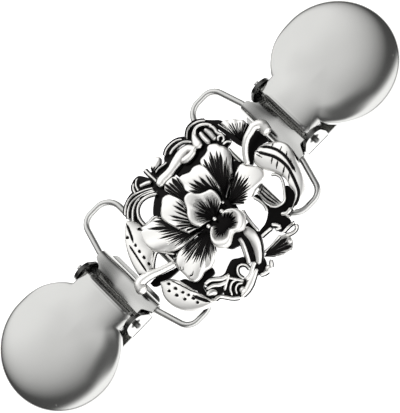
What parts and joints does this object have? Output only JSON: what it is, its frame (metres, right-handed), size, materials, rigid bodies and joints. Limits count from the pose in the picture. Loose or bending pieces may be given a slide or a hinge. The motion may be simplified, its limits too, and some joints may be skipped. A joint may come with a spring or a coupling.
{
  "type": "sweater clip",
  "caption": "Sweater clip: a pierced flower casting joined by wire loops to a lever clip with a round domed face at each end.",
  "frame": {"origin": "centre of the box around the part, on the surface that it lies on", "axes": "+Z out of the flower's face, +X along the clips, towards the side with the curved serrated leaf"},
  "size_m": [0.1052, 0.0377, 0.0084],
  "materials": {
    "antique_silver": "antique silver plate, high points polished, recesses oxidised black",
    "satin_nickel": "satin nickel plate",
    "bright_nickel": "bright nickel plate",
    "plain_nickel": "plain nickel plate"
  },
  "bodies": {
    "casting": {"flower": "antique_silver", "back_strap": "plain_nickel"},
    "left_wire": {"left_loop": "bright_nickel"},
    "left_lever_plate": {"left_lever": "satin_nickel"},
    "left_jaw": {"left_back_jaw": "plain_nickel", "left_pivot_pin": "bright_nickel"},
    "left_front": {"left_face": "satin_nickel"},
    "right_wire": {"right_loop": "bright_nickel"},
    "right_lever_plate": {"right_lever": "satin_nickel"},
    "right_jaw": {"right_back_jaw": "plain_nickel", "right_pivot_pin": "bright_nickel"},
    "right_front": {"right_face": "satin_nickel"}
  },
  "joints": [
    {"name": "left_loop_swing", "type": "hinge", "parent": "casting", "child": "left_wire", "pos_m": [-0.0114, 0.00209, 0.0024], "axis": [0, -1, 0], "range_deg": [0, 90]},
    {"name": "left_lever_turn", "type": "hinge", "parent": "left_wire", "child": "left_lever_plate", "pos_m": [-0.0209, 0.00209, 0.0024], "axis": [0, 1, 0], "range_deg": [-70, 10]},
    {"name": "left_clip_open", "type": "hinge", "parent": "left_lever_plate", "child": "left_jaw", "pos_m": [-0.0257, 0.00209, 0.0054], "axis": [0, 1, 0], "range_deg": [0, 90]},
    {"name": "left_face_open", "type": "hinge", "parent": "left_jaw", "child": "left_front", "pos_m": [-0.0257, 0.00209, 0.0054], "axis": [0, 1, 0], "range_deg": [0, 25]},
    {"name": "right_loop_swing", "type": "hinge", "parent": "casting", "child": "right_wire", "pos_m": [0.0114, 0.00209, 0.0024], "axis": [0, 1, 0], "range_deg": [0, 90]},
    {"name": "right_lever_turn", "type": "hinge", "parent": "right_wire", "child": "right_lever_plate", "pos_m": [0.0209, 0.00209, 0.0024], "axis": [0, -1, 0], "range_deg": [-70, 10]},
    {"name": "right_clip_open", "type": "hinge", "parent": "right_lever_plate", "child": "right_jaw", "pos_m": [0.0257, 0.00209, 0.0054], "axis": [0, -1, 0], "range_deg": [0, 90]},
    {"name": "right_face_open", "type": "hinge", "parent": "right_jaw", "child": "right_front", "pos_m": [0.0257, 0.00209, 0.0054], "axis": [0, -1, 0], "range_deg": [0, 25]}
  ]
}
